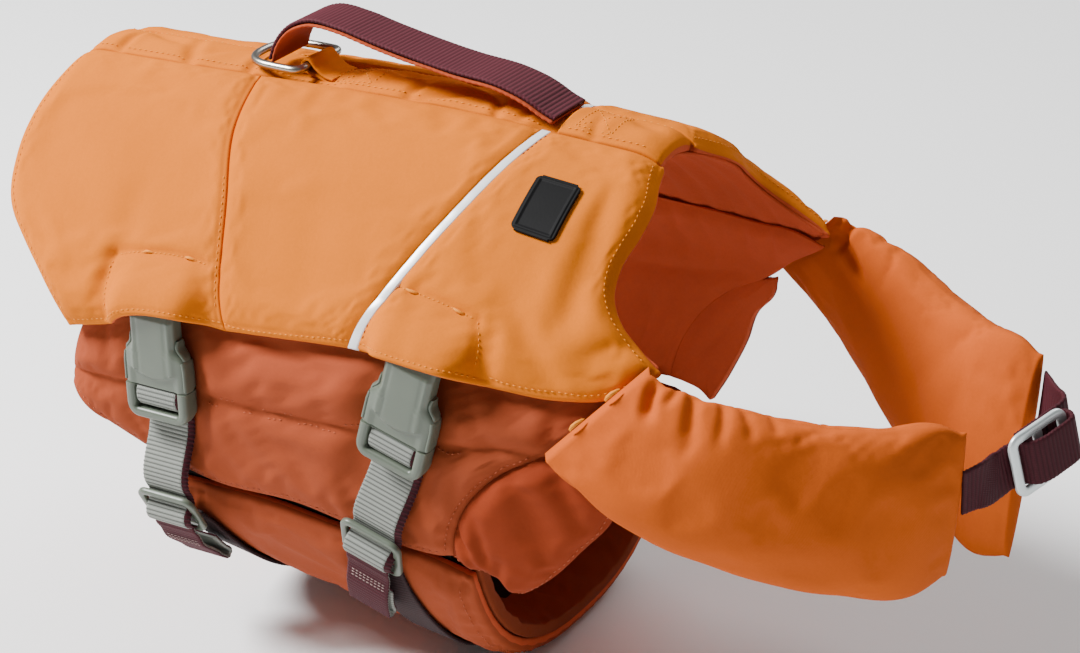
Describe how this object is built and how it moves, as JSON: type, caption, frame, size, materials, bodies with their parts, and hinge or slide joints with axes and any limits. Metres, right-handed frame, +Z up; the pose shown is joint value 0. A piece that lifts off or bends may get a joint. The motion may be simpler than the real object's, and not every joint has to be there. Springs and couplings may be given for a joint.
{
  "type": "dog life jacket",
  "caption": "Padded dog life jacket with a carrying handle, belly panel, neck pads, webbing straps with side-release buckles, and a lead ring.",
  "frame": {"origin": "inside the top of the back shell, half way along it, where the wearer's back carries the jacket", "axes": "+X towards the wearer's head, +Y to the wearer's left, +Z up"},
  "size_m": [0.4497, 0.2226, 0.2555],
  "materials": {
    "belly_front_facing": "matte woven",
    "belly_lining": "matte woven",
    "belly_panel": "matte woven",
    "belly_webbing_front": "ribbed webbing",
    "belly_webbing_rear": "ribbed webbing",
    "chest_gusset_left": "matte woven",
    "chest_gusset_right": "matte woven",
    "chest_slider": "satin",
    "chest_strap_far": "ribbed webbing",
    "chest_strap_near": "ribbed webbing",
    "d_ring": "satin",
    "handle_backing": "matte woven",
    "handle_webbing": "ribbed webbing",
    "inner_tape": "matte woven",
    "middle_panel_left": "matte woven",
    "middle_panel_right": "matte woven",
    "neck_pad_left": "matte woven",
    "neck_pad_right": "matte woven",
    "prong_front_left": "satin",
    "prong_front_right": "satin",
    "prong_rear_left": "satin",
    "prong_rear_right": "satin",
    "rear_panel_left": "matte woven",
    "rear_panel_right": "matte woven",
    "reflective_piping_left": "reflective",
    "reflective_piping_right": "reflective",
    "ring_loop": "matte woven",
    "rubber_label": "matte",
    "shell_lining": "matte woven",
    "shoulder_panel_left": "matte woven",
    "shoulder_panel_right": "matte woven",
    "side_panel_left": "matte woven",
    "side_panel_right": "matte woven",
    "slider_front_left": "satin",
    "slider_front_right": "satin",
    "slider_rear_left": "satin",
    "slider_rear_right": "satin",
    "socket_front_left": "satin",
    "socket_front_right": "satin",
    "socket_rear_left": "satin",
    "socket_rear_right": "satin",
    "spine_strip": "matte woven",
    "spine_strip_front": "matte woven",
    "strap_front_left": "ribbed webbing",
    "strap_front_right": "ribbed webbing",
    "strap_rear_left": "ribbed webbing",
    "strap_rear_right": "ribbed webbing",
    "tail_front_left": "ribbed webbing",
    "tail_front_right": "ribbed webbing",
    "tail_rear_left": "ribbed webbing",
    "tail_rear_right": "ribbed webbing"
  },
  "bodies": {
    "jacket": {"belly_front_facing": "belly_front_facing", "belly_lining": "belly_lining", "belly_panel": "belly_panel", "belly_webbing_front": "belly_webbing_front", "belly_webbing_rear": "belly_webbing_rear", "chest_gusset_left": "chest_gusset_left", "chest_gusset_right": "chest_gusset_right", "chest_slider": "chest_slider", "chest_strap_far": "chest_strap_far", "chest_strap_near": "chest_strap_near", "handle_backing": "handle_backing", "handle_webbing": "handle_webbing", "inner_tape": "inner_tape", "middle_panel_left": "middle_panel_left", "middle_panel_right": "middle_panel_right", "neck_pad_left": "neck_pad_left", "neck_pad_right": "neck_pad_right", "prong_front_left": "prong_front_left", "prong_front_right": "prong_front_right", "prong_rear_left": "prong_rear_left", "prong_rear_right": "prong_rear_right", "rear_panel_left": "rear_panel_left", "rear_panel_right": "rear_panel_right", "reflective_piping_left": "reflective_piping_left", "reflective_piping_right": "reflective_piping_right", "ring_loop": "ring_loop", "rubber_label": "rubber_label", "shell_lining": "shell_lining", "shoulder_panel_left": "shoulder_panel_left", "shoulder_panel_right": "shoulder_panel_right", "side_panel_left": "side_panel_left", "side_panel_right": "side_panel_right", "slider_front_left": "slider_front_left", "slider_front_right": "slider_front_right", "slider_rear_left": "slider_rear_left", "slider_rear_right": "slider_rear_right", "socket_front_left": "socket_front_left", "socket_front_right": "socket_front_right", "socket_rear_left": "socket_rear_left", "socket_rear_right": "socket_rear_right", "spine_strip": "spine_strip", "spine_strip_front": "spine_strip_front", "strap_front_left": "strap_front_left", "strap_front_right": "strap_front_right", "strap_rear_left": "strap_rear_left", "strap_rear_right": "strap_rear_right", "tail_front_left": "tail_front_left", "tail_front_right": "tail_front_right", "tail_rear_left": "tail_rear_left", "tail_rear_right": "tail_rear_right"},
    "d_ring": {"d_ring": "d_ring"}
  },
  "joints": [
    {"name": "d_ring_swing", "type": "hinge", "parent": "jacket", "child": "d_ring", "pos_m": [-0.0305, 0, 0.0112], "axis": [0, 1, 0], "range_deg": [0, 65]}
  ]
}
